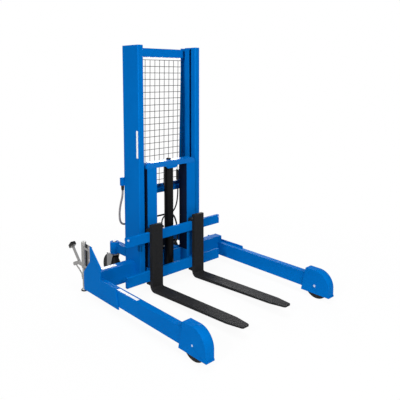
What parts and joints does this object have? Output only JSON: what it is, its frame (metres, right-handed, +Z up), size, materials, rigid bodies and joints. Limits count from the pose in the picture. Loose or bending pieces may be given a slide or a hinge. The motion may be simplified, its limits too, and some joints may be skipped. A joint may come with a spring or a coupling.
{
  "type": "pallet stacker",
  "caption": "Straddle pallet stacker: channel mast with a mesh guard, carriage on a lifting ram, adjustable forks, straddle legs with load wheels, rear casters and a floor lock.",
  "frame": {"origin": "on the floor, under the middle of the footprint (leg tips to caster wheels, left to right)", "axes": "+Z up along the mast, -Y the way the forks point, +X to the right seen from the fork tips"},
  "size_m": [1.3, 1.5856, 1.88],
  "materials": {
    "blue_paint": "glossy blue enamel",
    "black_paint": "satin black enamel",
    "bright_steel": "turned bright steel",
    "zinc_wire": "zinc plated wire",
    "caster_steel": "zinc plated pressing",
    "chrome_rod": "hard chrome",
    "cast_hub": "cast grey",
    "black_tyre": "moulded black tread",
    "alloy_block": "machined alloy",
    "black_plastic": "moulded matt black",
    "green_button": "moulded green",
    "red_button": "moulded red",
    "black_rubber": "black rubber"
  },
  "bodies": {
    "mast_base": {"left_upright": "blue_paint", "right_upright": "blue_paint", "mid_crossmember": "blue_paint", "top_crossmember": "blue_paint", "carriage_stops": "blue_paint", "mesh_guard": "zinc_wire", "mesh_strips": "blue_paint", "base_beams": "blue_paint", "left_leg": "blue_paint", "right_leg": "blue_paint", "left_side_plate": "blue_paint", "right_side_plate": "blue_paint", "left_wheel_housing": "blue_paint", "right_wheel_housing": "blue_paint", "load_wheel_axles": "bright_steel", "caster_mounts": "blue_paint", "ram_foot": "blue_paint", "ram_barrel": "black_paint", "ram_gland": "black_paint", "power_unit_shelf": "blue_paint", "reservoir_tank": "black_paint", "valve_block": "alloy_block", "pump_motor": "black_paint", "battery_box": "black_plastic", "control_box": "black_plastic", "junction_box": "black_plastic", "lock_bracket": "bright_steel", "hydraulic_hose": "black_rubber", "control_cable": "black_rubber", "power_lead": "black_rubber"},
    "carriage": {"carriage_posts": "blue_paint", "carriage_crossbar": "blue_paint", "ram_saddle": "blue_paint", "upper_fork_bar": "blue_paint", "lower_fork_bar": "blue_paint", "bar_stop_bolts": "bright_steel", "roller_brackets": "blue_paint", "ram_plunger": "chrome_rod"},
    "ram_sleeve": {"ram_sleeve": "chrome_rod"},
    "lower_left_roller": {"lower_left_roller": "bright_steel"},
    "lower_right_roller": {"lower_right_roller": "bright_steel"},
    "upper_left_roller": {"upper_left_roller": "bright_steel"},
    "upper_right_roller": {"upper_right_roller": "bright_steel"},
    "left_fork": {"left_fork": "black_paint"},
    "right_fork": {"right_fork": "black_paint"},
    "left_load_wheel": {"left_load_wheel": "black_tyre"},
    "right_load_wheel": {"right_load_wheel": "black_tyre"},
    "left_caster": {"left_caster_yoke": "caster_steel"},
    "left_caster_wheel": {"left_caster_tyre": "black_tyre", "left_caster_hub": "cast_hub"},
    "right_caster": {"right_caster_yoke": "caster_steel"},
    "right_caster_wheel": {"right_caster_tyre": "black_tyre", "right_caster_hub": "cast_hub"},
    "up_button": {"up_button": "green_button"},
    "down_button": {"down_button": "red_button"},
    "lock_pedal": {"lock_pedal": "bright_steel", "lock_pedal_pad": "black_rubber"},
    "lock_rod": {"lock_rod": "bright_steel"},
    "lock_plunger": {"lock_plunger": "bright_steel", "lock_foot": "black_rubber"}
  },
  "joints": [
    {"name": "carriage_lift", "type": "slide", "parent": "mast_base", "child": "carriage", "axis": [0, 0, 1], "range_m": [0, 1.17]},
    {"name": "sleeve_lift", "type": "slide", "parent": "mast_base", "child": "ram_sleeve", "axis": [0, 0, 1], "range_m": [0, 0.585]},
    {"name": "lower_left_roller_spin", "type": "hinge", "parent": "carriage", "child": "lower_left_roller", "pos_m": [-0.2825, 0.35975, 0.285], "axis": [1, 0, 0], "range_deg": [-1220, 0]},
    {"name": "lower_right_roller_spin", "type": "hinge", "parent": "carriage", "child": "lower_right_roller", "pos_m": [0.2825, 0.35975, 0.285], "axis": [1, 0, 0], "range_deg": [-1220, 0]},
    {"name": "upper_left_roller_spin", "type": "hinge", "parent": "carriage", "child": "upper_left_roller", "pos_m": [-0.2825, 0.35975, 0.64], "axis": [1, 0, 0], "range_deg": [0, 1220]},
    {"name": "upper_right_roller_spin", "type": "hinge", "parent": "carriage", "child": "upper_right_roller", "pos_m": [0.2825, 0.35975, 0.64], "axis": [1, 0, 0], "range_deg": [0, 1220]},
    {"name": "left_fork_slide", "type": "slide", "parent": "carriage", "child": "left_fork", "axis": [-1, 0, 0], "range_m": [-0.139, 0.186]},
    {"name": "right_fork_slide", "type": "slide", "parent": "carriage", "child": "right_fork", "axis": [1, 0, 0], "range_m": [-0.139, 0.186]},
    {"name": "left_load_wheel_spin", "type": "hinge", "parent": "mast_base", "child": "left_load_wheel", "pos_m": [-0.612, -0.67375, 0.1015], "axis": [1, 0, 0], "continuous": true},
    {"name": "right_load_wheel_spin", "type": "hinge", "parent": "mast_base", "child": "right_load_wheel", "pos_m": [0.612, -0.67375, 0.1015], "axis": [1, 0, 0], "continuous": true},
    {"name": "left_caster_swivel", "type": "hinge", "parent": "mast_base", "child": "left_caster", "pos_m": [-0.307, 0.65125, 0.266], "axis": [0, 0, 1], "continuous": true},
    {"name": "left_caster_wheel_spin", "type": "hinge", "parent": "left_caster", "child": "left_caster_wheel", "pos_m": [-0.307, 0.69125, 0.1015], "axis": [1, 0, 0], "continuous": true},
    {"name": "right_caster_swivel", "type": "hinge", "parent": "mast_base", "child": "right_caster", "pos_m": [0.307, 0.65125, 0.266], "axis": [0, 0, 1], "continuous": true},
    {"name": "right_caster_wheel_spin", "type": "hinge", "parent": "right_caster", "child": "right_caster_wheel", "pos_m": [0.307, 0.69125, 0.1015], "axis": [1, 0, 0], "continuous": true},
    {"name": "up_button_press", "type": "slide", "parent": "mast_base", "child": "up_button", "axis": [0, -1, 0], "range_m": [0, 0.004], "stiffness_N_per_m": 400},
    {"name": "down_button_press", "type": "slide", "parent": "mast_base", "child": "down_button", "axis": [0, -1, 0], "range_m": [0, 0.004], "stiffness_N_per_m": 400},
    {"name": "lock_pedal_press", "type": "hinge", "parent": "mast_base", "child": "lock_pedal", "pos_m": [-0.623, 0.65425, 0.222], "axis": [-1, 0, 0], "range_deg": [0, 6]},
    {"name": "lock_rod_swing", "type": "hinge", "parent": "lock_pedal", "child": "lock_rod", "pos_m": [-0.613, 0.73625, 0.186], "axis": [-1, 0, 0], "range_deg": [-10, 0]},
    {"name": "lock_plunger_drop", "type": "slide", "parent": "mast_base", "child": "lock_plunger", "axis": [0, 0, -1], "range_m": [0, 0.0155]}
  ],
  "couplings": [
    {"joint": "sleeve_lift", "follows": "carriage_lift", "ratio": 0.5},
    {"joint": "lower_left_roller_spin", "follows": "carriage_lift", "rad_per_m": -18.149},
    {"joint": "lower_right_roller_spin", "follows": "carriage_lift", "rad_per_m": -18.149},
    {"joint": "upper_left_roller_spin", "follows": "carriage_lift", "rad_per_m": 18.149},
    {"joint": "upper_right_roller_spin", "follows": "carriage_lift", "rad_per_m": 18.149},
    {"joint": "lock_rod_swing", "follows": "lock_pedal_press", "ratio": -1.58},
    {"joint": "lock_plunger_drop", "follows": "lock_pedal_press", "m_per_rad": 0.1477}
  ]
}
